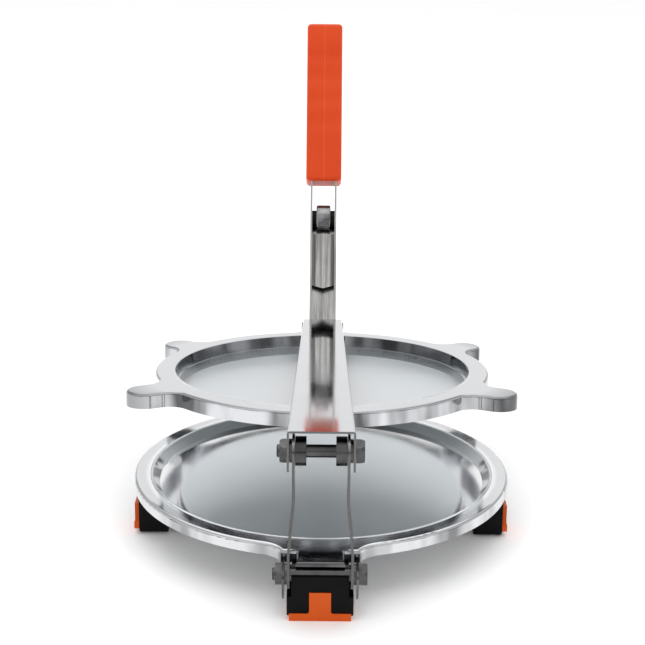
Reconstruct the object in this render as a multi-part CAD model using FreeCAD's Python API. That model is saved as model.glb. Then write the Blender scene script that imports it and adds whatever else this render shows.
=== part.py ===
import FreeCAD, Part
import math
import os

# Hand press for flat round dough: a tongued base plate on four feet, a raised
# upper plate with a brace channel, two links between them and a handle lever.
# Millimetres, +Z up, the hinge side faces -Y.

V = FreeCAD.Vector
X_AXIS = V(1, 0, 0)
Y_AXIS = V(0, 1, 0)
Z_AXIS = V(0, 0, 1)
ORIGIN = V(0, 0, 0)

# base plate, a pressed stainless dish with a tongue at the front
base_radius = 100.0
base_sheet = 1.0
base_rim_height = 28.5
base_skirt = 6.0
base_rim_inner = 90.0
base_floor_radius = 86.6
base_recess = 4.5
base_edge_round = 1.8
tongue_half = 17.8
tongue_shoulder = 104.5
tongue_tip_half = 11.6
tongue_reach = 117.0
tongue_tip_lip = 2.4
tongue_sweep = 14.0
ear_round = 11.5
lower_bolt_reach = 113.0
lower_bolt_drop = 8.0

# fasteners, M6
bolt_diameter = 6.0
hex_across = 10.0
head_height = 4.0
nut_height = 3.2
bolt_end = 0.8
hex_bevel = 0.7
fit = 0.05
seat_gap = 0.2

# sleeve and washers on the lower bolt
sleeve_diameter = 9.0
spacer_diameter = 10.0

# front foot under the tongue
foot_half = 13.5
foot_wide_half = 15.7
foot_front = 7.0
foot_depth = 24.0
foot_top_drop = 6.3
foot_step_drop = 16.4
foot_skirt_lift = 2.6
foot_round = 1.0
insert_bar_half = 14.6
insert_bar_height = 3.7
insert_stem_half = 5.1
insert_stem_height = 14.4
insert_depth = 17.0
insert_proud = 0.5
insert_fillet = 1.2

# side and rear feet under the rim
side_foot_forward = 16.0
side_foot_inner = 81.0
side_foot_outer = 95.8
side_foot_half = 9.5
side_foot_round = 5.0
side_insert_thick = 2.7
side_insert_lift = 3.0
side_insert_height = 12.7
side_insert_half = 8.5
side_insert_stem_half = 4.6
side_insert_bar = 3.6
stud_diameter = 5.0
stud_length = 12.0

# links
link_length = 61.8
link_thick = 1.2
link_low_inner = 14.3
link_high_inner = 12.1
link_width = 16.0
link_low_flat = 14.0
link_high_flat = 36.0

# upper plate, pressed with a skirt, four lifting ears and a rear tongue
plate_radius = 94.4
plate_sheet = 1.0
plate_skirt = 8.4
plate_rim_inner = 83.2
plate_ledge_radius = 82.0
plate_ledge_drop = 6.5
plate_floor_outer = 81.2
plate_floor_radius = 80.2
plate_recess = 11.0
plate_edge_round = 1.8
plate_tilt = 4.28
front_ear_reach = 118.0
front_ear_angle = 28.5
rear_ear_reach = 113.3
rear_ear_angle = 34.0
plate_ear_half = 10.0
plate_ear_sweep = 10.0
plate_tongue_half = 13.2
plate_tongue_reach = 104.0
plate_tongue_sweep = 8.0

# brace channel over the upper plate
brace_front = 179.6
brace_rear = 119.8
brace_front_half = 15.7
brace_rear_half = 12.5
brace_front_top = 14.7
brace_rear_top = 2.5
brace_sheet = 1.0
brace_lip = 4.5
brace_lip_end = 160.0
brace_lip_run = 12.0
brace_edge_round = 1.5
brace_rear_boss = 6.0
upper_bolt_reach = 171.5
upper_bolt_lift = 3.1
ring_diameter = 13.6
ring_inner_half = 6.8
ring_width = 5.1
washer_diameter = 11.0

# lever, a U-channel open towards the brace when it is folded down
lever_pin_reach = 126.8
lever_pin_drop = 5.5
lever_half = 8.65
lever_sheet = 1.2
lever_depth = 15.0
lever_offset = 8.3
lever_lean = 20.72
lever_boss = 6.5
lever_end = 190.0
lever_back_end = 84.0
lever_pin_diameter = 6.0
roller_distance = 76.5
roller_lift = 12.9
roller_diameter = 18.0
roller_half = 4.65
roller_round = 1.2
roller_pin_diameter = 5.0
roller_washer_diameter = 10.7
rivet_head = 1.0
rivet_head_diameter = 8.5
liner_start = 29.0
liner_end = 66.0
liner_lift = 13.0
liner_crease = 2.2
liner_point = 3.0
liner_thick = 0.8

# grip
grip_start = 101.2
grip_length = 109.3
grip_half = 11.8
grip_thick = 19.0
grip_under = 2.3
grip_round = 2.6
grip_wall_gap = 0.1

# cuts run past what they cut by this much
over = 2.0


def box(x0, x1, y0, y1, z0, z1):
    return Part.makeBox(x1 - x0, y1 - y0, z1 - z0, V(x0, y0, z0))


def rod(radius, x0, x1, y, z):
    return Part.makeCylinder(radius, x1 - x0, V(x0, y, z), X_AXIS)


def ring(outer, bore, x0, x1, y, z):
    return rod(outer, x0, x1, y, z).cut(rod(bore, x0 - over, x1 + over, y, z))


def side_prism(points, x0, x1):
    wire = Part.makePolygon([V(x0, y, z) for y, z in points + points[:1]])
    return Part.Face(wire).extrude(V(x1 - x0, 0, 0))


def plan_prism(points, z0, z1):
    wire = Part.makePolygon([V(x, y, z0) for x, y in points + points[:1]])
    return Part.Face(wire).extrude(V(0, 0, z1 - z0))


def turned(points):
    wire = Part.makePolygon([V(r, 0, z) for r, z in points + points[:1]])
    return Part.Face(wire).revolve(ORIGIN, Z_AXIS, 360)


def mirrored_x(shape):
    return shape.mirror(ORIGIN, X_AXIS)


def mirrored_y(shape):
    return shape.mirror(ORIGIN, Y_AXIS)


def round_edges(shape, radius, wanted):
    edges = [edge for edge in shape.Edges if wanted(edge)]
    return shape.makeFillet(radius, edges)


def is_upright(edge):
    points = [vertex.Point for vertex in edge.Vertexes]
    if len(points) < 2:
        return False
    return abs(points[0].x - points[1].x) + abs(points[0].y - points[1].y) < fit


def at_height(z):
    def wanted(edge):
        return abs(edge.BoundBox.ZMin - z) < fit and abs(edge.BoundBox.ZMax - z) < fit
    return wanted


def hex_block(x0, x1, y, z):
    corner = hex_across / math.sqrt(3)
    corners = []
    for turn in range(6):
        angle = math.radians(60 * turn)
        corners.append((y + corner * math.sin(angle), z + corner * math.cos(angle)))
    block = side_prism(corners, x0, x1)
    bevel = Part.makeCone(corner + hex_bevel, corner - hex_bevel, x1 - x0, V(x0, y, z), X_AXIS)
    if x1 < 0:
        bevel = Part.makeCone(corner - hex_bevel, corner + hex_bevel, x1 - x0, V(x0, y, z), X_AXIS)
    return block.common(bevel)


def bolt(half_grip, y, z):
    shank = rod(bolt_diameter / 2, -half_grip - nut_height - bolt_end, half_grip, y, z)
    head = hex_block(half_grip, half_grip + head_height, y, z)
    return shank.fuse(head).removeSplitter()


def nut(half_grip, y, z):
    block = hex_block(-half_grip - nut_height, -half_grip, y, z)
    return block.cut(rod(bolt_diameter / 2 + fit, -half_grip - nut_height - over, over, y, z))


def bolt_hole(y, z, reach):
    return rod(bolt_diameter / 2 + fit, -reach, reach, y, z)


# base

rim_top = base_rim_height
lower_y = -lower_bolt_reach
lower_z = rim_top - lower_bolt_drop
ear_inner = tongue_half - base_sheet


def base_outline(inset, z0, z1):
    disc = Part.makeCylinder(base_radius - inset, z1 - z0, V(0, 0, z0))
    half = tongue_half - inset
    blank_end = -tongue_reach - tongue_sweep
    body = disc.fuse(box(-half, half, blank_end, 0, z0, z1)).removeSplitter()

    def at_corner(edge):
        return is_upright(edge) and abs(edge.Vertexes[0].Point.y) < base_radius
    body = round_edges(body, tongue_sweep + inset, at_corner)
    body = body.cut(box(-base_radius, base_radius, blank_end - over, inset - tongue_shoulder,
                        z0 - over, z1 + over))
    tip = tongue_tip_half - inset
    return body.fuse(box(-tip, tip, inset - tongue_reach, 0, z0, z1)).removeSplitter()


def base_ear():
    """One side wall of the tongue, rounded about the bolt."""
    start = -math.sqrt(base_radius ** 2 - tongue_half ** 2)
    top = rim_top - base_edge_round
    wall = box(ear_inner, tongue_half, lower_y, start, lower_z - ear_round, top)
    tab = rod(ear_round, ear_inner, tongue_half, lower_y, lower_z)
    slope = side_prism(
        [(lower_y, lower_z - ear_round - over),
         (start + over, lower_z - ear_round - over),
         (start + over, rim_top - base_skirt),
         (start, rim_top - base_skirt)],
        ear_inner - over, tongue_half + over)
    above = box(ear_inner - over, tongue_half + over, lower_y - ear_round - over, start,
                top, top + ear_round)
    return wall.fuse(tab).cut(slope).cut(above)


def base_plate():
    skirt_z = rim_top - base_skirt
    shell = base_outline(0, skirt_z, rim_top)
    shell = round_edges(shell, base_edge_round, at_height(rim_top))
    shell = shell.cut(base_outline(base_sheet, skirt_z - over, rim_top - base_sheet))
    shell = shell.cut(box(-tongue_half - over, tongue_half + over, -tongue_reach - over,
                          -tongue_shoulder - fit, skirt_z - over, rim_top - tongue_tip_lip))
    floor_z = rim_top - base_recess
    shell = shell.cut(Part.makeCylinder(base_rim_inner, base_skirt + over, V(0, 0, skirt_z)))
    dish = turned([(0, floor_z), (base_floor_radius, floor_z), (base_rim_inner, rim_top),
                   (base_rim_inner + base_sheet, rim_top),
                   (base_rim_inner + base_sheet, rim_top - base_sheet),
                   (base_floor_radius + base_sheet, floor_z - base_sheet),
                   (0, floor_z - base_sheet)])
    ear = base_ear()
    body = shell.fuse(dish).fuse(ear).fuse(mirrored_x(ear)).removeSplitter()
    return body.cut(bolt_hole(lower_y, lower_z, tongue_half + over))


def t_insert(bar_half, stem_half, bar_height, height, depth, front, bottom):
    """An inverted T seen from the front, with rounded inner corners."""
    bar = box(-bar_half, bar_half, front, front + depth, bottom, bottom + bar_height)
    stem = box(-stem_half, stem_half, front, front + depth, bottom, bottom + height)
    body = bar.fuse(stem).removeSplitter()

    def at_inner_corner(edge):
        mid = edge.CenterOfMass
        return (abs(abs(mid.x) - stem_half) < fit and abs(mid.z - bottom - bar_height) < fit
                and edge.Length > depth / 2)
    return round_edges(body, insert_fillet, at_inner_corner)


def front_foot():
    front = lower_y - foot_front
    back = front + foot_depth
    step_z = rim_top - foot_step_drop
    upper = box(-foot_half, foot_half, front, back, step_z, rim_top - foot_top_drop)
    wide = box(-foot_wide_half, foot_wide_half, front, back, foot_skirt_lift, step_z)
    wide = round_edges(wide, foot_round, is_upright)
    body = upper.fuse(wide).removeSplitter()
    bore = sleeve_diameter / 2 + fit
    trough = rod(bore, -foot_wide_half - over, foot_wide_half + over, lower_y, lower_z)
    mouth = box(-foot_wide_half - over, foot_wide_half + over, lower_y - bore, lower_y + bore,
                lower_z, rim_top)
    pocket = t_insert(insert_bar_half + fit, insert_stem_half + fit, insert_bar_height + fit,
                      insert_stem_height + fit, insert_depth + insert_proud + fit,
                      front - insert_proud, 0)
    return body.cut(trough).cut(mouth).cut(pocket)


def front_foot_insert():
    return t_insert(insert_bar_half, insert_stem_half, insert_bar_height, insert_stem_height,
                    insert_depth + insert_proud, lower_y - foot_front - insert_proud, 0)


def around(shape, side):
    """Turn a foot part modelled at the front to the left (-1), right (1) or rear (2)."""
    placed = shape.copy()
    placed.rotate(ORIGIN, Z_AXIS, 90 * side)
    if side < 2:
        placed.translate(V(0, -side_foot_forward, 0))
    return placed


def rim_insert():
    """The coloured T on the outer end of a rim foot."""
    return t_insert(side_insert_half, side_insert_stem_half, side_insert_bar, side_insert_height,
                    side_insert_thick + insert_fillet, -side_foot_outer - side_insert_thick,
                    side_insert_lift)


def rim_stud():
    middle = (side_foot_inner + base_floor_radius) / 2
    top = rim_top - base_recess - base_sheet
    return Part.makeCylinder(stud_diameter / 2, stud_length, V(0, -middle, top - stud_length))


def rim_foot():
    top = rim_top - max(base_skirt, base_recess + base_sheet) - seat_gap
    body = box(-side_foot_half, side_foot_half, -side_foot_outer, -side_foot_inner, 0, top)

    def at_lower_long_edge(edge):
        mid = edge.CenterOfMass
        return abs(mid.z) < fit and abs(abs(mid.x) - side_foot_half) < fit
    body = round_edges(body, side_foot_round, at_lower_long_edge)
    middle = (side_foot_inner + base_floor_radius) / 2
    hole = Part.makeCylinder(stud_diameter / 2 + fit, stud_length + over, V(0, -middle, top - stud_length))
    return body.cut(rim_insert()).cut(hole)


def foot_studs():
    return Part.makeCompound([around(rim_stud(), side) for side in (-1, 1, 2)])


def lower_sleeve():
    half = link_low_inner - fit
    return ring(sleeve_diameter / 2, bolt_diameter / 2 + fit, -half, half, lower_y, lower_z)


def lower_washers():
    """Spacer washers that hold the links away from the ears."""
    x0 = link_low_inner + link_thick + fit
    x1 = ear_inner - fit
    washer = ring(spacer_diameter / 2, bolt_diameter / 2 + fit, x0, x1, lower_y, lower_z)
    return Part.makeCompound([washer, mirrored_x(washer)])


# links, set closer together at the top than at the bottom

upper_z = lower_z + link_length


def right_link():
    half = link_width / 2
    bends = [(link_low_inner, lower_z - half), (link_low_inner, lower_z + link_low_flat),
             (link_high_inner, lower_z + link_high_flat), (link_high_inner, upper_z + half)]
    outer = [(x + link_thick, z) for x, z in reversed(bends)]
    wire = Part.makePolygon([V(x, lower_y - half, z) for x, z in bends + outer + bends[:1]])
    strip = Part.Face(wire).extrude(V(0, link_width, 0))
    reach = link_low_inner + link_thick + over
    outline = box(0, reach, lower_y - half, lower_y + half, lower_z, upper_z)
    for z in (lower_z, upper_z):
        outline = outline.fuse(rod(half, 0, reach, lower_y, z))
    strip = strip.common(outline.removeSplitter())
    for z in (lower_z, upper_z):
        strip = strip.cut(bolt_hole(lower_y, z, reach))
    return strip


# upper plate and what it carries, in its own frame: rim plane z = 0, centre at the origin

def plate_outline(inset, z0, z1):
    body = Part.makeCylinder(plate_radius - inset, z1 - z0, V(0, 0, z0))
    tip = plate_ear_half - inset
    for angle, ear_reach in ((rear_ear_angle, rear_ear_reach), (180 - rear_ear_angle, rear_ear_reach),
                             (180 + front_ear_angle, front_ear_reach), (-front_ear_angle, front_ear_reach)):
        reach = ear_reach - plate_ear_half
        arm = box(0, reach, -tip, tip, z0, z1)
        arm = arm.fuse(Part.makeCylinder(tip, z1 - z0, V(reach, 0, z0)))
        arm.rotate(ORIGIN, Z_AXIS, angle)
        body = body.fuse(arm)
    body = body.removeSplitter()

    def at_root(edge):
        if not is_upright(edge):
            return False
        point = edge.Vertexes[0].Point
        return math.hypot(point.x, point.y) < plate_radius - inset + fit
    body = round_edges(body, plate_ear_sweep + inset, at_root)
    half = plate_tongue_half - inset
    body = body.fuse(box(-half, half, 0, plate_tongue_reach - inset, z0, z1)).removeSplitter()

    def at_tongue(edge):
        if not is_upright(edge):
            return False
        point = edge.Vertexes[0].Point
        return abs(abs(point.x) - half) < fit and 0 < point.y < plate_radius
    return round_edges(body, plate_tongue_sweep + inset, at_tongue)


def upper_plate():
    shell = plate_outline(0, -plate_skirt, 0)
    shell = round_edges(shell, plate_edge_round, at_height(0))
    shell = shell.cut(plate_outline(plate_sheet, -plate_skirt - over, -plate_sheet))
    shell = shell.cut(Part.makeCylinder(plate_rim_inner, plate_skirt + over, V(0, 0, -plate_skirt)))
    dish = turned([(0, -plate_recess), (plate_floor_radius, -plate_recess),
                   (plate_floor_outer, -plate_ledge_drop), (plate_ledge_radius, -plate_ledge_drop),
                   (plate_rim_inner, 0), (plate_rim_inner + plate_sheet, 0),
                   (plate_rim_inner + plate_sheet, -plate_sheet),
                   (plate_ledge_radius + plate_sheet, -plate_ledge_drop - plate_sheet),
                   (plate_floor_outer + plate_sheet, -plate_ledge_drop - plate_sheet),
                   (plate_floor_radius + plate_sheet, -plate_recess - plate_sheet),
                   (0, -plate_recess - plate_sheet)])
    return shell.fuse(dish).removeSplitter()


def brace_share(y):
    return (y + brace_front) / (brace_front + brace_rear)


def brace_half(y):
    return brace_front_half + (brace_rear_half - brace_front_half) * brace_share(y)


def brace_top(y):
    return brace_front_top + (brace_rear_top - brace_front_top) * brace_share(y)


brace_end = lever_pin_reach + brace_rear_boss


def brace_plan(inset, z0, z1):
    """The tapering plan of the brace; an inset one runs on past both ends."""
    y0 = -brace_front
    y1 = brace_end
    if inset > 0:
        y0 = y0 - over
        y1 = y1 + over
    front = brace_half(y0) - inset
    rear = brace_half(y1) - inset
    return plan_prism([(-front, y0), (front, y0), (rear, y1), (-rear, y1)], z0, z1)


def brace_sides():
    """Side view of the flanges: over the rim, down to the floor, up again, rear lobes."""
    wide = brace_front_half + over
    floor_end = math.sqrt((plate_floor_radius - seat_gap) ** 2 - brace_front_half ** 2)
    floor_z = -plate_recess + seat_gap
    tongue_end = plate_tongue_reach + seat_gap
    pin_z = -lever_pin_drop
    body = side_prism(
        [(-brace_front, brace_top(-brace_front)), (-brace_front, -brace_lip), (-brace_lip_end, -brace_lip),
         (-brace_lip_end + brace_lip_run, seat_gap), (-floor_end, seat_gap), (-floor_end, floor_z), (floor_end, floor_z), (floor_end, seat_gap),
         (tongue_end, seat_gap), (tongue_end, pin_z - brace_rear_boss),
         (lever_pin_reach, pin_z - brace_rear_boss), (lever_pin_reach, pin_z + brace_rear_boss),
         (brace_rear, pin_z + brace_rear_boss), (brace_rear, brace_top(brace_rear))], -wide, wide)
    return body.fuse(rod(brace_rear_boss, -wide, wide, lever_pin_reach, pin_z)).removeSplitter()


def brace_channel():
    wide = brace_front_half + over
    low = -plate_recess - brace_rear_boss - over
    high = brace_front_top + over
    outer = brace_plan(0, low, high).common(brace_sides())

    def at_long_edge(edge):
        bound = edge.BoundBox
        return bound.YLength > brace_rear and bound.ZMin > 0 and bound.ZMax > brace_front_top - fit
    outer = round_edges(outer, brace_edge_round, at_long_edge)
    front_end = -brace_front - over
    under = side_prism(
        [(front_end, brace_top(front_end) - brace_sheet), (front_end, low - over),
         (brace_end + over, low - over), (brace_end + over, high), (brace_rear, high),
         (brace_rear, brace_top(brace_rear) - brace_sheet)], -wide, wide)
    body = outer.cut(brace_plan(brace_sheet, low - over, high + over).common(under))
    body = body.cut(bolt_hole(-upper_bolt_reach, upper_bolt_lift, wide))
    return body.cut(bolt_hole(lever_pin_reach, -lever_pin_drop, wide))


upper_half_grip = brace_half(-upper_bolt_reach - hex_across) + seat_gap


def upper_bolt():
    return bolt(upper_half_grip, -upper_bolt_reach, upper_bolt_lift)


def upper_nut():
    return nut(upper_half_grip, -upper_bolt_reach, upper_bolt_lift)


def upper_rings():
    spacer = ring(ring_diameter / 2, bolt_diameter / 2 + fit, ring_inner_half, ring_inner_half + ring_width,
                  -upper_bolt_reach, upper_bolt_lift)
    return Part.makeCompound([spacer, mirrored_x(spacer)])


def upper_washers():
    x0 = link_high_inner + link_thick + fit
    x1 = brace_half(-upper_bolt_reach + washer_diameter / 2) - brace_sheet - fit
    washer = ring(washer_diameter / 2, bolt_diameter / 2 + fit, x0, x1, -upper_bolt_reach, upper_bolt_lift)
    return Part.makeCompound([washer, mirrored_x(washer)])


def lever_pin():
    """A plain pin through the rear lobes of the brace with a flat head at each end."""
    half = brace_half(lever_pin_reach - rivet_head_diameter / 2) + fit
    pin = rod(lever_pin_diameter / 2, -half, half, lever_pin_reach, -lever_pin_drop)
    for x0, x1 in ((half, half + rivet_head), (-half - rivet_head, -half)):
        pin = pin.fuse(rod(rivet_head_diameter / 2, x0, x1, lever_pin_reach, -lever_pin_drop))
    return pin.removeSplitter()


def lever_washers():
    x0 = lever_half + fit
    x1 = brace_half(lever_pin_reach + washer_diameter / 2) - brace_sheet - fit
    washer = ring(washer_diameter / 2, lever_pin_diameter / 2 + fit, x0, x1, lever_pin_reach, -lever_pin_drop)
    return Part.makeCompound([washer, mirrored_x(washer)])


# lever, modelled folded down: pin axis at the origin, length along -Y, open side down

lever_low = lever_offset
lever_high = lever_offset + lever_depth


def lever_side(x0, x1):
    beam = box(x0, x1, -lever_end, lever_boss, lever_low, lever_high)
    neck = box(x0, x1, -lever_boss, lever_boss, 0, lever_low)
    return beam.fuse(neck).fuse(rod(lever_boss, x0, x1, 0, 0))


def lever_channel():
    inner = lever_half - lever_sheet
    right = lever_side(inner, lever_half)
    back = box(-lever_half, lever_half, -lever_back_end, lever_boss, lever_high - lever_sheet, lever_high)
    body = back.fuse(right).fuse(mirrored_x(right)).removeSplitter()
    body = body.cut(rod(lever_pin_diameter / 2 + fit, -lever_half - over, lever_half + over, 0, 0))
    return body.cut(rod(roller_pin_diameter / 2 + fit, -lever_half - over, lever_half + over,
                        -roller_distance, roller_lift))


def lever_liner():
    """A creased strip between the sides, pointed at its lower end."""
    half = lever_half - lever_sheet - fit
    low = liner_lift - liner_crease
    section = [(-half, liner_lift), (0, low), (half, liner_lift), (half, liner_lift + liner_thick),
               (0, low + liner_thick), (-half, liner_lift + liner_thick)]
    wire = Part.makePolygon([V(x, -liner_end, z) for x, z in section + section[:1]])
    body = Part.Face(wire).extrude(V(0, liner_end - liner_start, 0))
    reach = half + over
    notch = plan_prism([(-reach, -liner_start - liner_point), (0, -liner_start), (reach, -liner_start - liner_point),
                        (reach, -liner_start + over), (-reach, -liner_start + over)],
                       low - over, liner_lift + liner_thick + over)
    return body.cut(notch)


def roller_pin():
    """A plain pin, its ends flush with the lever's sides."""
    return rod(roller_pin_diameter / 2, -lever_half, lever_half, -roller_distance, roller_lift)


def press_roller():
    body = ring(roller_diameter / 2, roller_pin_diameter / 2 + fit, -roller_half, roller_half,
                -roller_distance, roller_lift)

    def at_rim(edge):
        return edge.Length > roller_diameter * 2
    rim = [edge for edge in body.Edges if at_rim(edge) and len(edge.Vertexes) == 1]
    return body.makeFillet(roller_round, rim)


def roller_washers():
    x1 = lever_half - lever_sheet - fit
    x0 = roller_half + fit
    washer = ring(roller_washer_diameter / 2, roller_pin_diameter / 2 + fit, x0, x1,
                  -roller_distance, roller_lift)
    return Part.makeCompound([washer, mirrored_x(washer)])


def grip():
    low = lever_low - grip_under
    body = box(-grip_half, grip_half, -grip_start - grip_length, -grip_start, low, low + grip_thick)
    body = body.makeFillet(grip_round, body.Edges)
    gap = grip_wall_gap
    inner = lever_half - lever_sheet
    slots = box(inner - gap, lever_half + gap, -lever_end - gap, -grip_start + over,
                lever_low - gap, lever_high + gap)
    return body.cut(slots).cut(mirrored_x(slots))


def on_plate(shape):
    placed = shape.copy()
    placed.translate(V(0, upper_bolt_reach, -upper_bolt_lift))
    placed.rotate(ORIGIN, X_AXIS, -plate_tilt)
    placed.translate(V(0, lower_y, upper_z))
    return placed


def on_lever(shape):
    placed = shape.copy()
    placed.rotate(ORIGIN, X_AXIS, -90 - lever_lean)
    placed.translate(V(0, lever_pin_reach, -lever_pin_drop))
    return on_plate(placed)


def all_parts():
    lower_grip = tongue_half + seat_gap
    return {
        "base_plate": base_plate(),
        "front_foot": front_foot(),
        "front_foot_insert": front_foot_insert(),
        "left_foot": around(rim_foot(), -1),
        "left_foot_insert": around(rim_insert(), -1),
        "right_foot": around(rim_foot(), 1),
        "right_foot_insert": around(rim_insert(), 1),
        "rear_foot": around(rim_foot(), 2),
        "rear_foot_insert": around(rim_insert(), 2),
        "foot_studs": foot_studs(),
        "lower_hinge_bolt": bolt(lower_grip, lower_y, lower_z),
        "lower_hinge_nut": nut(lower_grip, lower_y, lower_z),
        "lower_hinge_sleeve": lower_sleeve(),
        "lower_hinge_washers": lower_washers(),
        "left_link": mirrored_x(right_link()),
        "right_link": right_link(),
        "upper_plate": on_plate(upper_plate()),
        "brace_channel": on_plate(brace_channel()),
        "upper_hinge_bolt": on_plate(upper_bolt()),
        "upper_hinge_nut": on_plate(upper_nut()),
        "upper_hinge_rings": on_plate(upper_rings()),
        "upper_hinge_washers": on_plate(upper_washers()),
        "lever_pin": on_plate(lever_pin()),
        "lever_washers": on_plate(lever_washers()),
        "lever_channel": on_lever(lever_channel()),
        "lever_liner": on_lever(lever_liner()),
        "roller_pin": on_lever(roller_pin()),
        "roller_washers": on_lever(roller_washers()),
        "press_roller": on_lever(press_roller()),
        "grip": on_lever(grip()),
    }


def main():
    os.makedirs("parts", exist_ok=True)
    parts = all_parts()
    whole = FreeCAD.BoundBox()
    for shape in parts.values():
        whole.add(shape.optimalBoundingBox(False, False))
    shift = V(-whole.Center.x, -whole.Center.y, -whole.ZMin)
    for name, shape in parts.items():
        shape.translate(shift)
        shape.exportStep("parts/" + name + ".step")
        print(name, len(shape.Solids), shape.isValid(), round(shape.Volume, 1))
    pivot = on_plate(Part.Vertex(0, lever_pin_reach, -lever_pin_drop)).Point + shift
    roll = on_lever(Part.Vertex(0, -roller_distance, roller_lift)).Point + shift
    print("size", whole.XLength, whole.YLength, whole.ZLength)
    print("lower hinge", V(0, lower_y, lower_z) + shift)
    print("upper hinge", V(0, lower_y, upper_z) + shift)
    print("lever hinge", pivot)
    print("roller axis", roll)


main()
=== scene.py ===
import bpy
import math
from mathutils import Matrix, Vector


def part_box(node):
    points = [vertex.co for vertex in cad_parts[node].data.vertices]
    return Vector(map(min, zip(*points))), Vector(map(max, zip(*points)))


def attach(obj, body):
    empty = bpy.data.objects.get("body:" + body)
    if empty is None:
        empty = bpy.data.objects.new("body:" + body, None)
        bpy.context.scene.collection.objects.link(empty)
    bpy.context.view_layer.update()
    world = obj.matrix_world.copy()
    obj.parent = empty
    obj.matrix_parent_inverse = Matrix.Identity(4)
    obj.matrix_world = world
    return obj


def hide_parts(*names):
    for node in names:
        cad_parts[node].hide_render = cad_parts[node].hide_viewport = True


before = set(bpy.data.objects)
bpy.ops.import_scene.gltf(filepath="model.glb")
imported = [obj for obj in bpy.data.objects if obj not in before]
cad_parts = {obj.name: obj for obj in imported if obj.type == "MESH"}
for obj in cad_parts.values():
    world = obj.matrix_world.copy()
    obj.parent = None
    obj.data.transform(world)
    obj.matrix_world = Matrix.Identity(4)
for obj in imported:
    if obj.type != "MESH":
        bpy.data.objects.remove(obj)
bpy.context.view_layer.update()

print("frame loaded")


def hexColour(code):
    # sRGB hex to the linear values that the shader wants
    shares = [int(code[i:i + 2], 16) / 255 for i in (0, 2, 4)]
    return [c / 12.92 if c <= 0.04045 else ((c + 0.055) / 1.055) ** 2.4 for c in shares] + [1.0]


def newMaterial(name):
    material = bpy.data.materials.new(name)
    material.use_nodes = True
    material.node_tree.nodes.clear()
    return material


def addNode(owner, kind, settings=None, links=None):
    # one node of a material or the world, with its settings, wired to what feeds it
    node = owner.node_tree.nodes.new(kind)
    for key, value in (settings or {}).items():
        if isinstance(key, int) or key in node.inputs:
            node.inputs[key].default_value = value
        else:
            setattr(node, key, value)
    for key, source in (links or {}).items():
        owner.node_tree.links.new(source, node.inputs[key])
    return node


def perMetre(millimetres):
    # noise scale whose features come out this many millimetres across
    return 1000.0 / millimetres


def noiseOf(m, vector, acrossMm, detail, roughness=0.5):
    node = addNode(m, "ShaderNodeTexNoise",
                   {"Scale": perMetre(acrossMm), "Detail": detail, "Roughness": roughness}, {"Vector": vector})
    return node.outputs["Fac"]


def stretched(m, vector, scale):
    return addNode(m, "ShaderNodeMapping", {"Scale": scale}, {"Vector": vector}).outputs["Vector"]


def ranged(owner, value, low, high, atLow=0.0, atHigh=1.0):
    # carries low to high over to atLow to atHigh and holds it there beyond
    node = addNode(owner, "ShaderNodeMapRange",
                   {"From Min": low, "From Max": high, "To Min": atLow, "To Max": atHigh}, {"Value": value})
    return node.outputs["Result"]


def blended(m, factor, lowCode, highCode):
    node = addNode(m, "ShaderNodeMix", {"data_type": "RGBA", 6: hexColour(lowCode), 7: hexColour(highCode)},
                   {"Factor": factor})
    return node.outputs[2]


def tinted(m, factor, tone, code):
    # lays a colour over a tone as far as the factor says
    node = addNode(m, "ShaderNodeMix", {"data_type": "RGBA", 7: hexColour(code)}, {"Factor": factor, 6: tone})
    return node.outputs[2]


def facing(m, place, axis):
    # 1 where the surface faces along the axis, either way, 0 where it lies along it
    side = addNode(m, "ShaderNodeSeparateXYZ", links={"Vector": place.outputs["Normal"]})
    return addNode(m, "ShaderNodeMath", {"operation": "ABSOLUTE"}, {0: side.outputs[axis]}).outputs["Value"]


def product(m, first, second):
    node = addNode(m, "ShaderNodeMath", {"operation": "MULTIPLY"}, {0: first, 1: second})
    return node.outputs["Value"]


def bumped(m, height, strength, distanceMm):
    node = addNode(m, "ShaderNodeBump", {"Strength": strength, "Distance": distanceMm / 1000}, {"Height": height})
    return node.outputs["Normal"]


def twoStopRamp(owner, factor, stops, colours):
    node = addNode(owner, "ShaderNodeValToRGB", links={"Fac": factor})
    for element, stop, colour in zip(node.color_ramp.elements, stops, colours):
        element.position = stop
        element.color = colour
    return node.outputs["Color"]


def finishMaterial(m, settings, tone, rough, normal):
    skin = addNode(m, "ShaderNodeBsdfPrincipled", settings,
                   {"Base Color": tone, "Roughness": rough, "Normal": normal})
    addNode(m, "ShaderNodeOutputMaterial", links={"Surface": skin.outputs["BSDF"]})
    return m


metal = {"Metallic": 1.0}
# noise values crowd into this band, so it is spread over the whole change of roughness
noiseBand = (0.3, 0.7)

baseLow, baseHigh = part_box("base_plate")
baseRadius = baseHigh[0]
# at rest the raised plate hovers this far behind the base
plateSetBack = 0.0578
discCentre = {"base_plate": baseHigh[1] - baseRadius, "upper_plate": baseHigh[1] - baseRadius + plateSetBack}


def discRadius(m, place, node):
    # distance from the middle of the disc, in metres
    low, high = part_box(node)
    centred = addNode(m, "ShaderNodeMapping", {"Location": (-(low[0] + high[0]) / 2, -discCentre[node], 0.0)},
                      {"Vector": place.outputs["Object"]})
    flat = addNode(m, "ShaderNodeVectorMath", {"operation": "MULTIPLY", 1: (1.0, 1.0, 0.0)},
                   {0: centred.outputs["Vector"]})
    return addNode(m, "ShaderNodeVectorMath", {"operation": "LENGTH"}, {0: flat.outputs["Vector"]}).outputs["Value"]


# The press rolls the lip of a recess over a small radius, which catches a thin bright line
lipBend = {"widthMm": 1.8, "dropMm": 0.35, "strength": 1.0}


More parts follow.
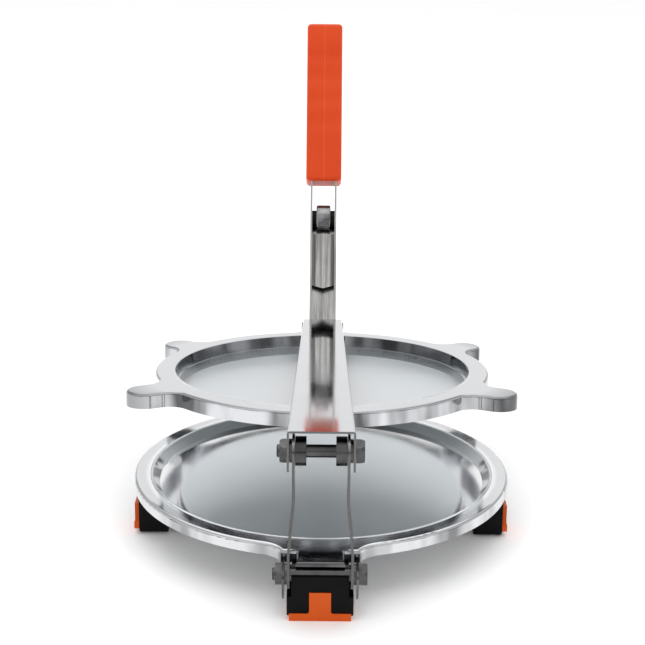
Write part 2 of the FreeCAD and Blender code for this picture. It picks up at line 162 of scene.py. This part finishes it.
def bentLip(m, radius, lipRadius, normal):
    half = lipBend["widthMm"] / 2000
    lip = addNode(m, "ShaderNodeMapRange", {"interpolation_type": "SMOOTHSTEP", "From Min": lipRadius - half,
                                            "From Max": lipRadius + half}, {"Value": radius})
    bump = addNode(m, "ShaderNodeBump", {"Strength": lipBend["strength"], "Distance": lipBend["dropMm"] / 1000},
                   {"Height": lip.outputs["Result"], "Normal": normal})
    return bump.outputs["Normal"]


# Painted reflection: dark upright streaks on a pressed skirt stand for the dark surroundings it reflects, and a
# painted shade makes each bend darker than the flats beside it
paintedStreakShade = {"streakMm": 30.0, "stretch": 0.2, "detail": 3.0, "roughness": 0.6, "streakFrom": 0.42, "streakTo": 0.64,
             "streak": "333433", "streakShare": 0.88, "uprightTo": 0.3, "flatFrom": 0.7,
             "bendRise": (0.35, 0.75), "bendFall": (0.85, 0.99), "bend": "4A4A4A", "bendShare": 0.7,
             "wallShare": 0.4, "wallBlend": 0.001}


def paintedStreakShadeTone(m, place, tone, share, radius=None, wallEdge=0.0):
    # paints dark reflection streaks on the upright faces and an even painted shade on the bends; flat faces keep
    # their tone;
    # the walls of a recess, inside wallEdge, get an even painted shade instead of streaks
    d = paintedStreakShade
    level = facing(m, place, "Z")
    upright = ranged(m, level, d["uprightTo"], d["flatFrom"], d["streakShare"] * share, 0.0)
    bend = product(m, ranged(m, level, *d["bendRise"]), ranged(m, level, *d["bendFall"], 1.0, 0.0))
    bendPart = addNode(m, "ShaderNodeMath", {"operation": "MULTIPLY", 1: d["bendShare"] * share}, {0: bend})
    stretchedPlace = stretched(m, place.outputs["Object"], (1.0, 1.0, d["stretch"]))
    streaks = ranged(m, noiseOf(m, stretchedPlace, d["streakMm"], d["detail"], d["roughness"]),
                     d["streakFrom"], d["streakTo"])
    if radius:
        inside = ranged(m, radius, wallEdge - d["wallBlend"], wallEdge, 1.0, 0.0)
        streaks = addNode(m, "ShaderNodeMix", {3: d["wallShare"]}, {"Factor": inside, 2: streaks}).outputs[0]
    streaked = tinted(m, product(m, streaks, upright), tone, d["streak"])
    return tinted(m, bendPart.outputs["Value"], streaked, d["bend"])


# Faces that point along Y, the ends and narrow edges of these pieces, are darkened to an even grey
yFacingDarkening = {"from": 0.8, "to": 0.95, "tint": "5C5C5B", "share": 0.9}


def yFacingDarkTone(m, place, tone):
    s = yFacingDarkening
    return tinted(m, ranged(m, facing(m, place, "Y"), s["from"], s["to"], 0.0, s["share"]), tone, s["tint"])


# Strip from the rolling mill keeps long dark marks; they run up the lever, which leans by 25 degrees,
# and show fainter on the links
leverLean = 25.0
rollMarks = {"acrossMm": 3.2, "stretch": 0.05, "detail": 5.0, "roughness": 0.65, "from": 0.42, "to": 0.62,
             "dark": "4A4948", "share": 0.5}


def rolledTone(m, place, tone, share):
    r = rollMarks
    upright = addNode(m, "ShaderNodeMapping", {"Rotation": (math.radians(leverLean), 0.0, 0.0)},
                      {"Vector": place.outputs["Object"]})
    stretchedPlace = stretched(m, upright.outputs["Vector"], (1.0, 1.0, r["stretch"]))
    marks = noiseOf(m, stretchedPlace, r["acrossMm"], r["detail"], r["roughness"])
    return tinted(m, ranged(m, marks, r["from"], r["to"], 0.0, r["share"] * share), tone, r["dark"])


# Stainless 304 sheet, pressed and then buffed on a wheel: bright, with fine haze lines and a few rubs
polishedSteel = {"tint": "DFE0E2", "haze": "D0D2D4", "mirrorTint": "D3D4D7", "mirrorHaze": "CACBCE",
                 "stripTint": "C9C8C6", "stripHaze": "A1A09E", "linkTint": "B5B4B3", "linkHaze": "979695",
                 "hazeMm": 18.0, "hazeDetail": 4.0, "rubMm": 45.0, "rubDetail": 6.0, "rubRoughness": 0.65,
                 "rubFrom": 0.35, "rubTo": 0.7, "roughLow": 0.07, "roughHigh": 0.14,
                 "buffMm": 0.9, "buffDetail": 2.0, "buffStretch": 0.06, "bumpMm": 0.01, "bumpStrength": 0.05}
# The base's dish: its well is lightened, a painted reflection of the bright room, and the tongue between the links
# carries a painted shade
dish = {"wellReflectionTint": "F3F4F5", "wellReflectionShare": 0.85, "wellInset": 0.004, "wellBlend": 0.002, "wallEdge": 0.0965,
        "lipRadius": 0.0908, "tongueShadeTint": "5C5C5E", "tongueShadeShare": 0.9, "tongueFrom": 0.104, "tongueTo": 0.108}


def buffedStainless(name, share, paintedStreakShare, rollShare, tintName, hazeName, node=None, darkenYFaces=False):
    # share scales the roughness: 1 for the dish, less for the mirror-bright brace
    s = polishedSteel
    m = newMaterial(name)
    place = addNode(m, "ShaderNodeTexCoord")
    where = place.outputs["Object"]
    rubs = noiseOf(m, where, s["rubMm"], s["rubDetail"], s["rubRoughness"])
    lines = noiseOf(m, stretched(m, where, (1.0, s["buffStretch"], 1.0)), s["buffMm"], s["buffDetail"])
    tone = blended(m, noiseOf(m, where, s["hazeMm"], s["hazeDetail"]), s[hazeName], s[tintName])
    radius = None
    if node:
        radius = discRadius(m, place, node)
        wellEdge = dish["wallEdge"] - dish["wellInset"]
        # painted reflection: the well's floor is lightened towards white
        inWell = ranged(m, radius, wellEdge, wellEdge + dish["wellBlend"], dish["wellReflectionShare"], 0.0)
        tone = tinted(m, inWell, tone, dish["wellReflectionTint"])
        # painted shade: the tongue between the links is darkened
        onTongue = ranged(m, radius, dish["tongueFrom"], dish["tongueTo"], 0.0, dish["tongueShadeShare"])
        tone = tinted(m, onTongue, tone, dish["tongueShadeTint"])
    # painted reflection streaks on the upright faces, painted shade on the bends and recess walls
    tone = paintedStreakShadeTone(m, place, tone, paintedStreakShare, radius, dish["wallEdge"])
    if rollShare:
        tone = rolledTone(m, place, tone, rollShare)
    if darkenYFaces:
        tone = yFacingDarkTone(m, place, tone)
    rough = ranged(m, rubs, s["rubFrom"], s["rubTo"], s["roughLow"] * share, s["roughHigh"] * share)
    normal = bumped(m, lines, s["bumpStrength"], s["bumpMm"])
    if node:
        normal = bentLip(m, radius, dish["lipRadius"], normal)
    return finishMaterial(m, metal, tone, rough, normal)


# The same sheet on the raised plate: its recessed floor keeps the mill's brushed grain, its rim is buffed,
# and the ears drop a little towards their ends, which carry a painted shade
brushedFloor = {"grainMm": 0.7, "grainStretch": 0.03, "grainDetail": 3.0, "mottleMm": 30.0, "mottleDetail": 5.0,
                "floorRough": (0.34, 0.46), "rimRough": (0.06, 0.16), "floorTint": "D7DCDE", "rimTint": "D1D3D6",
                "edge": 0.0805, "blend": 0.0015, "wallEdge": 0.0865, "lipRadius": 0.084,
                "earFrom": 0.1, "earTo": 0.118, "earShadeTint": "7E7E80", "earShadeShare": 0.75,
                "paintedStreakShare": 1.0, "bumpMm": 0.02, "bumpStrength": 0.08}


def brushedPlateStainless(node):
    s = brushedFloor
    m = newMaterial("brushedPlateStainless")
    place = addNode(m, "ShaderNodeTexCoord")
    where = place.outputs["Object"]
    radius = discRadius(m, place, node)
    onRim = ranged(m, radius, s["edge"] - s["blend"], s["edge"] + s["blend"])
    grain = noiseOf(m, stretched(m, where, (s["grainStretch"], 1.0, 1.0)), s["grainMm"], s["grainDetail"])
    mottle = noiseOf(m, where, s["mottleMm"], s["mottleDetail"])
    floorRough = ranged(m, grain, *noiseBand, *s["floorRough"])
    rimRough = ranged(m, mottle, *noiseBand, *s["rimRough"])
    rough = addNode(m, "ShaderNodeMix", links={"Factor": onRim, 2: floorRough, 3: rimRough}).outputs[0]
    # painted shade: the ears darken towards their ends, where they drop away from the light
    onEar = ranged(m, radius, s["earFrom"], s["earTo"], 0.0, s["earShadeShare"])
    tone = tinted(m, onEar, blended(m, onRim, s["floorTint"], s["rimTint"]), s["earShadeTint"])
    # painted reflection streaks on the upright faces, painted shade on the bends and recess walls
    tone = paintedStreakShadeTone(m, place, tone, s["paintedStreakShare"], radius, s["wallEdge"])
    normal = bentLip(m, radius, s["lipRadius"], bumped(m, grain, s["bumpStrength"], s["bumpMm"]))
    return finishMaterial(m, metal, tone, rough, normal)


# Cold-headed stainless fasteners, tumbled: greyer and duller than the sheet, darker in the pits
tumbledSteel = {"light": "5C5C5D", "dark": "464647", "pitMm": 9.0, "pitDetail": 6.0, "pitRoughness": 0.6,
                "stops": (0.35, 0.62), "rough": (0.14, 0.26), "bumpMm": 0.02, "bumpStrength": 0.03}


def tumbledFastenerSteel(name, brighter):
    # brighter lifts both tones, for the roller, whose face is turned clean
    s = tumbledSteel
    m = newMaterial(name)
    place = addNode(m, "ShaderNodeTexCoord")
    pits = noiseOf(m, place.outputs["Object"], s["pitMm"], s["pitDetail"], s["pitRoughness"])
    dark = [c * brighter for c in hexColour(s["dark"])[:3]] + [1.0]
    light = [c * brighter ** 2 for c in hexColour(s["light"])[:3]] + [1.0]
    tone = twoStopRamp(m, pits, s["stops"], (dark, light))
    return finishMaterial(m, metal, tone, ranged(m, pits, *noiseBand, *s["rough"]),
                          bumped(m, pits, s["bumpStrength"], s["bumpMm"]))


# Injection-moulded ABS from a spark-eroded mould, polished on the faces: saturated orange, a soft gloss
# and slight flow marks
mouldedAbs = {"gripBase": "D84812", "gripShade": "CB3A08", "footBase": "DA5C12", "footShade": "C64C0A",
              "partLine": "F0702E", "lineMm": 0.35, "flowMm": 26.0, "flowDetail": 3.0,
              "skinMm": 0.8, "skinDetail": 2.0, "rough": (0.3, 0.43), "bumpMm": 0.04, "bumpStrength": 0.12,
              "shader": {"IOR": 1.54, "Specular IOR Level": 0.2}}


def mouldedOrangeAbs(name, which, partShare):
    # partShare draws the line where the mould's halves met, up the middle
    s = mouldedAbs
    m = newMaterial(name)
    where = addNode(m, "ShaderNodeTexCoord").outputs["Object"]
    flow = noiseOf(m, where, s["flowMm"], s["flowDetail"])
    grain = noiseOf(m, where, s["skinMm"], s["skinDetail"])
    across = addNode(m, "ShaderNodeSeparateXYZ", links={"Vector": where})
    aside = addNode(m, "ShaderNodeMath", {"operation": "ABSOLUTE"}, {0: across.outputs["X"]}).outputs["Value"]
    onLine = ranged(m, aside, s["lineMm"] / 2000, s["lineMm"] / 1000, partShare, 0.0)
    tone = tinted(m, onLine, blended(m, flow, s[which + "Shade"], s[which + "Base"]), s["partLine"])
    return finishMaterial(m, s["shader"], tone, ranged(m, flow, *noiseBand, *s["rough"]),
                          bumped(m, grain, s["bumpStrength"], s["bumpMm"]))


# Compression-moulded nitrile rubber: near black, matt, with a dusty bloom in patches
nitrile = {"base": "050505", "bloom": "0D0D0D", "bloomMm": 9.0, "bloomDetail": 5.0, "grainMm": 0.6,
           "grainDetail": 2.0, "roughLow": 0.52, "roughHigh": 0.72, "bumpMm": 0.06, "bumpStrength": 0.3,
           "shader": {"IOR": 1.5, "Specular IOR Level": 0.12}}


def mouldedBlackRubber(name, change):
    # change shifts the roughness, for the smoother nylon washers
    s = nitrile
    m = newMaterial(name)
    where = addNode(m, "ShaderNodeTexCoord").outputs["Object"]
    bloom = noiseOf(m, where, s["bloomMm"], s["bloomDetail"])
    grain = noiseOf(m, where, s["grainMm"], s["grainDetail"])
    rough = ranged(m, bloom, *noiseBand, s["roughLow"] + change, s["roughHigh"] + change)
    return finishMaterial(m, s["shader"], blended(m, bloom, s["base"], s["bloom"]), rough,
                          bumped(m, grain, s["bumpStrength"], s["bumpMm"]))


# name, share of the roughness, of the painted streak shade and of the rolling marks, tint, haze
steel = buffedStainless("buffedStainless", 1.0, 0.8, 0.0, "tint", "haze", "base_plate")
mirrorSteel = buffedStainless("mirrorStainless", 0.8, 0.6, 0.0, "mirrorTint", "mirrorHaze", darkenYFaces=True)
linkSteel = buffedStainless("shearedLinkStainless", 1.6, 0.6, 0.5, "linkTint", "linkHaze", darkenYFaces=True)
plateSteel = brushedPlateStainless("upper_plate")
stripSteel = buffedStainless("rolledStripStainless", 1.6, 0.0, 1.0, "stripTint", "stripHaze")
fastenerSteel = tumbledFastenerSteel("tumbledFastenerSteel", 1.0)
rollerSteel = tumbledFastenerSteel("groundRollerSteel", 1.55)
orange = mouldedOrangeAbs("mouldedGripAbs", "grip", 0.3)
footOrange = mouldedOrangeAbs("mouldedFootAbs", "foot", 0.0)
rubber = mouldedBlackRubber("mouldedBlackRubber", 0.0)
nylon = mouldedBlackRubber("mouldedBlackNylon", -0.15)

finishes = {
    "base_plate": steel, "left_link": linkSteel, "right_link": linkSteel, "brace_channel": mirrorSteel,
    "lever_channel": stripSteel, "lever_liner": stripSteel, "upper_plate": plateSteel,
    "front_foot": rubber, "left_foot": rubber, "right_foot": rubber, "rear_foot": rubber,
    "front_foot_insert": footOrange, "left_foot_insert": footOrange, "right_foot_insert": footOrange,
    "rear_foot_insert": footOrange, "grip": orange, "roller_washers": nylon, "press_roller": rollerSteel,
}
# what isn't named above is a bolt, nut, pin, sleeve, stud or washer
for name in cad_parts:
    finish = finishes.get(name, fastenerSteel)
    node = bpy.data.objects[name]
    if not node.material_slots:
        node.data.materials.append(finish)
    for materialSlot in node.material_slots:
        materialSlot.material = finish
print("finishes set on", len(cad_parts), "nodes")


def freshMesh(name):
    # the new primitive becomes a named piece whose place is in its mesh
    piece = bpy.context.object
    piece.name = name
    piece.data.name = name
    bpy.ops.object.transform_apply(location=True, rotation=True, scale=True)
    return piece


def clearSelection():
    bpy.ops.object.select_all(action="DESELECT")


def applyBevel(piece, name, width, segments, angle=None):
    soften = piece.modifiers.new(name, "BEVEL")
    soften.width = width
    soften.segments = segments
    if angle:
        soften.limit_method = "ANGLE"
        soften.angle_limit = math.radians(angle)
    bpy.ops.object.modifier_apply(modifier=soften.name)


# Chamfered thread ends, which stand a little past the bolts
threadTip = {"radius": 0.0029, "length": 0.0006, "sides": 48, "chamfer": 0.0003, "chamferSegments": 2,
             "socket": 0.0011, "dimple": 0.0003, "endFacing": -0.9}


def boltTip(name, boltNode, body):
    t = threadTip
    low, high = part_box(boltNode)
    clearSelection()
    centre = (low[0] - t["length"] / 2, (low[1] + high[1]) / 2, (low[2] + high[2]) / 2)
    bpy.ops.mesh.primitive_cylinder_add(vertices=t["sides"], radius=t["radius"], depth=t["length"],
                                        location=centre, rotation=(0, math.pi / 2, 0))
    tip = freshMesh(name)
    # a shallow turned dimple in the middle of the end face
    bpy.ops.object.mode_set(mode="EDIT")
    bpy.ops.mesh.select_all(action="DESELECT")
    bpy.ops.object.mode_set(mode="OBJECT")
    for face in tip.data.polygons:
        face.select = face.normal.x < t["endFacing"]
    bpy.ops.object.mode_set(mode="EDIT")
    bpy.ops.mesh.select_mode(type="FACE")
    bpy.ops.mesh.inset(thickness=t["radius"] - t["socket"])
    bpy.ops.transform.translate(value=(t["dimple"], 0, 0))
    bpy.ops.object.mode_set(mode="OBJECT")
    applyBevel(tip, "chamfer", t["chamfer"], t["chamferSegments"])
    tip.data.materials.append(fastenerSteel)
    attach(tip, body)


boltTip("lowerBoltTip", "lower_hinge_bolt", "base")
boltTip("upperBoltTip", "upper_hinge_bolt", "upper")
print("bolt ends made")

# The grip is one moulding with soft edges and faint finger waves in its front and back
gripShape = {"width": 0.0236, "depth": 0.019, "length": 0.1093, "edge": 0.0026, "edgeSegments": 6,
             "edgeAngle": 60.0, "smoothAngle": 30.0, "waves": 4, "waveDepth": 0.07, "waveLow": 0.3,
             "waveHigh": 0.86, "rows": 32, "rowReach": 0.25}


def makeGrip():
    g = gripShape
    clearSelection()
    bpy.ops.mesh.primitive_cube_add(size=1, location=(0, 0, 0), scale=(g["width"], g["depth"], g["length"]))
    grip = freshMesh("mouldedGrip")
    bpy.ops.object.mode_set(mode="EDIT")
    for row in range(1, g["rows"]):
        height = (row / g["rows"] - 0.5) * g["length"]
        bpy.ops.mesh.select_all(action="SELECT")
        bpy.ops.mesh.bisect(plane_co=(0, 0, height), plane_no=(0, 0, 1))
    bpy.ops.mesh.select_all(action="SELECT")
    bpy.ops.mesh.bisect(plane_co=(0, 0, 0), plane_no=(1, 0, 0))
    # each row is drawn in a little where a finger lies
    for row in range(1, g["rows"]):
        share = row / g["rows"]
        if not g["waveLow"] < share < g["waveHigh"]:
            continue
        run = (share - g["waveLow"]) / (g["waveHigh"] - g["waveLow"])
        dip = 1 - g["waveDepth"] * (0.5 - 0.5 * math.cos(2 * math.pi * g["waves"] * run))
        height = (share - 0.5) * g["length"]
        bpy.ops.mesh.select_mode(type="VERT")
        bpy.ops.mesh.select_all(action="DESELECT")
        bpy.ops.object.mode_set(mode="OBJECT")
        for vertex in grip.data.vertices:
            vertex.select = abs(vertex.co.z - height) < g["length"] / g["rows"] * g["rowReach"]
        bpy.ops.object.mode_set(mode="EDIT")
        bpy.ops.transform.resize(value=(1, dip, 1), center_override=(0, 0, height))
    bpy.ops.object.mode_set(mode="OBJECT")
    applyBevel(grip, "mouldRadius", g["edge"], g["edgeSegments"], g["edgeAngle"])
    bpy.ops.object.shade_smooth_by_angle(angle=math.radians(g["smoothAngle"]))
    low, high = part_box("grip")
    grip.rotation_euler = (-math.radians(leverLean), 0, 0)
    grip.location = ((low[0] + high[0]) / 2, (low[1] + high[1]) / 2, (low[2] + high[2]) / 2)
    bpy.ops.object.transform_apply(location=True, rotation=True, scale=True)
    grip.data.materials.append(orange)
    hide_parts("grip")
    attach(grip, "lever")


makeGrip()
print("grip moulded")

# A wide sheet of matt white paper, with hardly any change of tone
studioPaper = {"size": 30.0, "noiseScale": 3.0, "low": "FAFAFA", "high": "FEFEFE", "rough": 0.95}
clearSelection()
bpy.ops.mesh.primitive_plane_add(size=studioPaper["size"], location=(0, 0, 0))
floor = bpy.context.object
floor.name = "studioFloor"
paper = newMaterial("matteWhitePaper")
paperPlace = addNode(paper, "ShaderNodeTexCoord")
paperNoise = addNode(paper, "ShaderNodeTexNoise", {"Scale": studioPaper["noiseScale"]},
                     {"Vector": paperPlace.outputs["Object"]})
paperSkin = addNode(paper, "ShaderNodeBsdfPrincipled",
                    {"Roughness": studioPaper["rough"], "Specular IOR Level": 0.0},
                    {"Base Color": blended(paper, paperNoise.outputs["Fac"], studioPaper["low"],
                                           studioPaper["high"])})
addNode(paper, "ShaderNodeOutputMaterial", links={"Surface": paperSkin.outputs["BSDF"]})
floor.data.materials.append(paper)

# A white room; low down its walls are broken by dark flags, which draw the streaks seen in buffed steel
roomLight = {"strength": 1.12, "ceiling": 0.9, "flagDark": 0.2, "flagLight": 1.0, "flagStops": (0.45, 0.6),
             "flagScale": 4.2, "flagDetail": 1.0, "flagTop": 0.3, "flagFade": 0.12,
             "farWall": 0.1, "farFade": 0.15}


def grey(level):
    return [level] * 3 + [1.0]


world = bpy.data.worlds.new("studioWorld")
bpy.context.scene.world = world
world.use_nodes = True
skyDirection = addNode(world, "ShaderNodeTexCoord").outputs["Generated"]
skySplit = addNode(world, "ShaderNodeSeparateXYZ", links={"Vector": skyDirection})
flags = addNode(world, "ShaderNodeTexNoise", {"Scale": roomLight["flagScale"], "Detail": roomLight["flagDetail"]},
                {"Vector": skyDirection})
flagTone = twoStopRamp(world, flags.outputs["Fac"], roomLight["flagStops"],
                       (grey(roomLight["flagDark"]), grey(roomLight["flagLight"])))
aboveFlags = ranged(world, skySplit.outputs["Z"], roomLight["flagTop"] - roomLight["flagFade"],
                    roomLight["flagTop"])
onFarWall = ranged(world, skySplit.outputs["Y"], roomLight["farWall"] - roomLight["farFade"],
                   roomLight["farWall"])
brightPart = addNode(world, "ShaderNodeMath", {"operation": "MAXIMUM"}, {0: aboveFlags, 1: onFarWall})
roomTone = addNode(world, "ShaderNodeMix", {"data_type": "RGBA", 7: grey(roomLight["ceiling"])},
                   {"Factor": brightPart.outputs["Value"], 6: flagTone})
background = world.node_tree.nodes["Background"]
background.inputs["Strength"].default_value = roomLight["strength"]
world.node_tree.links.new(roomTone.outputs[2], background.inputs["Color"])

# one large softbox over the press, a little behind it
softbox = {"behind": 0.2, "height": 1.8, "size": (2.6, 2.2), "watts": 16, "aimHeight": 0.05}
middle = Vector((0, (baseLow[1] + baseHigh[1]) / 2, softbox["aimHeight"]))
lightPlace = Vector((0, middle.y + softbox["behind"], softbox["height"]))
lightData = bpy.data.lights.new("overheadSoftbox", "AREA")
lightData.shape = "RECTANGLE"
lightData.size, lightData.size_y = softbox["size"]
lightData.energy = softbox["watts"]
light = bpy.data.objects.new("overheadSoftbox", lightData)
bpy.context.scene.collection.objects.link(light)
light.location = lightPlace
light.rotation_euler = (middle - lightPlace).to_track_quat("-Z", "Y").to_euler()
print("studio set")


# camera: found from the photo, measured from the base plate's centre and rim
view = {"focalPixels": 1500.0, "framePixels": 645.0, "sensor": 36.0, "place": (0.0, -0.7542, 0.3044),
        "pitch": 16.45, "roll": 0.5}
cameraData = bpy.data.cameras.new("photoCamera")
cameraData.sensor_width = view["sensor"]
cameraData.lens = view["focalPixels"] / view["framePixels"] * view["sensor"]
camera = bpy.data.objects.new("photoCamera", cameraData)
bpy.context.scene.collection.objects.link(camera)
rimHeight = baseHigh[2]
aim = (Matrix.Rotation(math.radians(90 - view["pitch"]), 4, "X")
       @ Matrix.Rotation(math.radians(view["roll"]), 4, "Z"))
camera.matrix_world = Matrix.Translation((view["place"][0], discCentre["base_plate"] + view["place"][1],
                                          rimHeight + view["place"][2])) @ aim
bpy.context.scene.camera = camera
bpy.context.scene.view_settings.view_transform = "Standard"
print("camera set")
